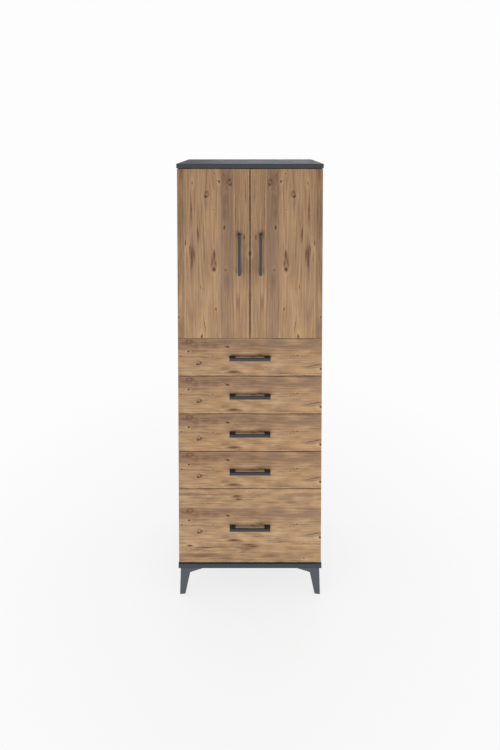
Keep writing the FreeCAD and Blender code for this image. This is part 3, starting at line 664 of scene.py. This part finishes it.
for name, piece in nodes.items():
    piece.data.materials.clear()
    piece.data.materials.append(finishFor(name))
print("finishes on", len(nodes), "pieces")


# round screws, cams, bolts and pins in place of the six-sided solids

fittings = {  # lengths in metres
    "sides": 24,
    "rim": 0.0004,  # chamfer at an edge
    "dome": [(0.55, 1.0), (0.2, 0.93), (0.0, 0.74)],  # shares of a head's height and of its radius
    "cross": {"reach": 0.60, "half": 0.15, "taper": 0.8, "depth": 0.0012},  # shares of the radius, but depth
    "cam": {"least": 0.010, "proud": 0.00012, "lap": 0.0004},  # its plate laps over the rim of the bore
    "pinStep": 0.001,  # the step on a shelf pin is less than this
    "same": 0.0001,  # lengths closer than this count as one
    "crease": 35.0,  # degrees, sharper edges stay sharp
}


def separateSolids(mesh):
    # the points of each loose solid in a node
    shape = bmesh.new()
    shape.from_mesh(mesh)
    bmesh.ops.remove_doubles(shape, verts=shape.verts, dist=1e-6)
    waiting = {corner.index: corner for corner in shape.verts}
    solids = []
    while waiting:
        reached = [waiting.pop(min(waiting))]
        points = []
        while reached:
            corner = reached.pop()
            points.append(corner.co.copy())
            for edge in corner.link_edges:
                other = waiting.pop(edge.other_vert(corner).index, None)
                if other:
                    reached.append(other)
        solids.append(points)
    shape.free()
    return solids


def plainRod(start, end, radius):
    rim = fittings["rim"]
    return [(start, radius - rim), (start + rim, radius), (end - rim, radius), (end, radius - rim)]


def turnedProfile(points):
    # axis, centre, places along the axis with a radius at each, and which ends have a cross
    low = [min(p[i] for p in points) for i in range(3)]
    high = [max(p[i] for p in points) for i in range(3)]
    spans = [b - a for a, b in zip(low, high)]
    centre = [(a + b) / 2 for a, b in zip(low, high)]
    cam = fittings["cam"]
    isCam = min(spans) > cam["least"]
    axis = spans.index(min(spans) if isCam else max(spans))
    start, end = low[axis], high[axis]
    if isCam:
        steps = plainRod(start - cam["proud"], end + cam["proud"], max(spans) / 2 + cam["lap"])
        return axis, centre, steps, (True, True)
    same = fittings["same"]

    def radiusAt(place):
        here = [p for p in points if abs(p[axis] - place) < same]
        return max(math.dist(p, [p[i] if i == axis else centre[i] for i in range(3)]) for p in here)

    first, last = radiusAt(start), radiusAt(end)
    if abs(first - last) < same:
        return axis, centre, plainRod(start, end, first), (False, False)
    shoulder = next(p[axis] for p in points if start + same < p[axis] < end - same)
    if abs(first - last) < fittings["pinStep"]:
        rim = fittings["rim"]
        steps = [(start, first - rim), (start + rim, first), (shoulder, first)]
        steps += [(shoulder, last), (end - rim, last), (end, last - rim)]
        return axis, centre, steps, (False, False)
    if first > last:
        tall = shoulder - start
        head = [(start + part * tall, first * wide) for part, wide in reversed(fittings["dome"])]
        return axis, centre, head + [(shoulder, first), (shoulder, last), (end, last)], (True, False)
    tall = end - shoulder
    head = [(end - part * tall, last * wide) for part, wide in fittings["dome"]]
    return axis, centre, [(start, first), (shoulder, first), (shoulder, last)] + head, (False, True)


def crossPlan(radius):
    reach = fittings["cross"]["reach"] * radius
    half = fittings["cross"]["half"] * radius
    plan = []
    for cos, sin in ((1, 0), (0, 1), (-1, 0), (0, -1)):
        for x, y in ((half, -half), (reach, -half), (reach, half)):
            plan.append((x * cos - y * sin, x * sin + y * cos))
    return plan


def addTurned(shape, points):
    axis, centre, steps, crossed = turnedProfile(points)
    across, up = (axis + 1) % 3, (axis + 2) % 3

    def corner(place, x, y):
        spot = [0.0, 0.0, 0.0]
        spot[axis] = place
        spot[across] = centre[across] + x
        spot[up] = centre[up] + y
        return shape.verts.new(spot)

    def wall(below, above):
        for i, under in enumerate(below):
            following = (i + 1) % len(below)
            shape.faces.new((under, below[following], above[following], above[i]))

    def crossEnd(ring, place, radius, inward):
        cross = fittings["cross"]
        plan = crossPlan(radius)
        mouth = [corner(place, x, y) for x, y in plan]
        deep = place + inward * cross["depth"]
        taper = cross["taper"]
        bed = [corner(deep, x * taper, y * taper) for x, y in plan]
        edges = [shape.edges.get(pair) for pair in zip(ring, ring[1:] + ring[:1])]
        edges += [shape.edges.new(pair) for pair in zip(mouth, mouth[1:] + mouth[:1])]
        bmesh.ops.triangle_fill(shape, use_beauty=True, use_dissolve=False, edges=edges)
        wall(mouth, bed)
        shape.faces.new(bed)

    turns = [2 * math.pi * i / fittings["sides"] for i in range(fittings["sides"])]
    rings = [[corner(place, r * math.cos(t), r * math.sin(t)) for t in turns] for place, r in steps]
    for below, above in zip(rings, rings[1:]):
        wall(below, above)
    for index, hasCross, inward in ((0, crossed[0], 1), (-1, crossed[1], -1)):
        if hasCross:
            crossEnd(rings[index], *steps[index], inward)
        else:
            shape.faces.new(rings[index])


def roundFittings(name, body, label):
    shape = bmesh.new()
    for points in separateSolids(nodes[name].data):
        addTurned(shape, points)
    bmesh.ops.recalc_face_normals(shape, faces=shape.faces)
    mesh = bpy.data.meshes.new(label)
    shape.to_mesh(mesh)
    shape.free()
    mesh.shade_smooth()
    mesh.set_sharp_from_angle(angle=math.radians(fittings["crease"]))
    mesh.materials.append(zincSteel)
    piece = bpy.data.objects.new(label, mesh)
    bpy.context.scene.collection.objects.link(piece)
    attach(piece, body)
    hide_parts(name)


roundFittings("carcass_fasteners", "carcass", "carcass_screws_and_cams")
roundFittings("shelf_pins", "carcass", "shelf_pegs")
for hand in ("left", "right"):
    roundFittings(hand + "_door_handle_screws", hand + "_door", hand + "_door_screws")
for count in range(1, 6):
    drawer = "drawer_" + str(count)
    roundFittings(drawer + "_fasteners", drawer, drawer + "_screws_and_cams")
print("round fittings made")


# studio

studio = {
    "backdrop": 0.985,  # 1 is white
    "floorRadius": 30.0,
    "floorTone": (0.86, 0.86, 0.865),
    "floorGlow": 0.93,  # share of the pale backdrop mixed into the floor near the cabinet
    "floorFade": (0.8, 2.2),  # metres from the middle, over which the floor turns into pure backdrop
    "floorShade": 0.87,  # painted shadow: what is left of the glow where the cabinet closes the floor in
    "floorLight": 0.50,  # what the floor gives the cabinet from below
    "horizon": 0.42,
    "zenith": 0.16,
    "lamps": [  # name, place, aim, width, height, watts
        ("keySoftbox", (-0.9, -2.7, 0.52), (0.0, -0.2, 0.40), 2.4, 0.95, 23.0),
        ("fillSoftbox", (1.2, -2.7, 0.52), (0.0, -0.2, 0.40), 2.0, 0.95, 15.0),
        ("leftSoftbox", (-3.6, 0.4, 1.4), (0.0, 0.0, 0.9), 2.2, 2.4, 48.0),
        ("rightSoftbox", (3.6, 0.4, 1.4), (0.0, 0.0, 0.9), 2.2, 2.4, 48.0),
        ("backSoftbox", (0.8, 4.2, 1.5), (0.0, 0.2, 0.9), 2.6, 2.4, 74.0),
    ],
}


def backdropRays(tree):
    path = newNode(tree, "LightPath")
    seen = calc(tree, "MAXIMUM", path.outputs["Is Camera Ray"], path.outputs["Is Glossy Ray"])
    return calc(tree, "MAXIMUM", seen, path.outputs["Is Transmission Ray"])


def makeWorld(look):
    world = bpy.data.worlds.new("studioWorld")
    world.use_nodes = True
    tree = world.node_tree
    sky = tree.nodes["Background"]
    height = split(tree, newNode(tree, "TexCoord").outputs["Generated"])[2]
    glow = remap(tree, height, 0.0, 0.9, look["horizon"], look["zenith"], False)
    shown = backdropRays(tree)
    glow = calc(tree, "MULTIPLY", glow, calc(tree, "SUBTRACT", 1.0, shown))
    plug(tree, sky.inputs["Strength"], calc(tree, "MULTIPLY_ADD", shown, look["backdrop"], glow))
    sky.inputs["Color"].default_value = (1.0, 1.0, 1.0, 1.0)
    bpy.context.scene.world = world


def makeFloor(look):
    bpy.ops.mesh.primitive_circle_add(vertices=96, radius=look["floorRadius"], fill_type="NGON")
    floor = bpy.context.object
    floor.name = "studioFloor"
    material, tree, shader, place = newMaterial("studioFloor")
    shader.inputs["Roughness"].default_value = 0.9
    shader.inputs["Specular IOR Level"].default_value = 0.1
    cloud = speckle(tree, place, (1.5, 1.5, 1.5), 2.0)
    tone = [*look["floorTone"], 1.0]
    duller = [part * 0.985 for part in look["floorTone"]] + [1.0]
    plug(tree, shader.inputs["Base Color"], blendColour(tree, cloud, tone, duller))
    glow = newNode(tree, "Emission")
    # painted shadow: the floor's glow dims with ambient occlusion under and round the cabinet
    paintedShadowOcclusion = newNode(tree, "AmbientOcclusion", samples=8)
    paintedShadowOcclusion.inputs["Distance"].default_value = 0.9
    dimmest = look["backdrop"] * look["floorShade"]
    bright = remap(tree, paintedShadowOcclusion.outputs["AO"], 0.2, 1.0, dimmest, look["backdrop"], False)
    plug(tree, glow.inputs["Strength"], bright)
    share = remap(tree, vectorCalc(tree, "LENGTH", place), *look["floorFade"], look["floorGlow"], 1.0)
    mix = newNode(tree, "MixShader")
    shown = backdropRays(tree)
    unseen = calc(tree, "MULTIPLY", calc(tree, "SUBTRACT", 1.0, shown), look["floorLight"])
    plug(tree, mix.inputs[0], calc(tree, "MULTIPLY_ADD", share, shown, unseen))
    plug(tree, mix.inputs[1], shader.outputs[0])
    plug(tree, mix.inputs[2], glow.outputs[0])
    plug(tree, tree.nodes["Material Output"].inputs["Surface"], mix.outputs[0])
    floor.data.materials.append(material)


def aimAt(thing, target):
    away = [there - here for here, there in zip(thing.location, target)]
    flat = math.hypot(away[0], away[1])
    thing.rotation_euler = (math.atan2(flat, -away[2]), 0.0, math.atan2(-away[0], away[1]))


def makeLamps(look):
    for name, place, target, width, height, watts in look["lamps"]:
        data = bpy.data.lights.new(name, "AREA")
        data.shape = "RECTANGLE"
        data.size = width
        data.size_y = height
        data.energy = watts
        lamp = bpy.data.objects.new(name, data)
        lamp.location = place
        aimAt(lamp, target)
        bpy.context.scene.collection.objects.link(lamp)


makeWorld(studio)
makeFloor(studio)
makeLamps(studio)
print("studio lit")


# camera: just above the cabinet's top, nearly level, with the frame shifted down to the cabinet

view = {"eye": (0.0, -2.08475, 1.924), "tilt": 87.88, "lens": 33.60, "shift": -0.44, "sensor": 36.0}

cameraData = bpy.data.cameras.new("photoCamera")
cameraData.sensor_fit = "HORIZONTAL"
cameraData.sensor_width = view["sensor"]
cameraData.lens = view["lens"]
cameraData.shift_y = view["shift"]
camera = bpy.data.objects.new("photoCamera", cameraData)
camera.location = view["eye"]
camera.rotation_euler = (math.radians(view["tilt"]), 0.0, 0.0)
bpy.context.scene.collection.objects.link(camera)
bpy.context.scene.camera = camera
bpy.context.scene.view_settings.view_transform = "Standard"
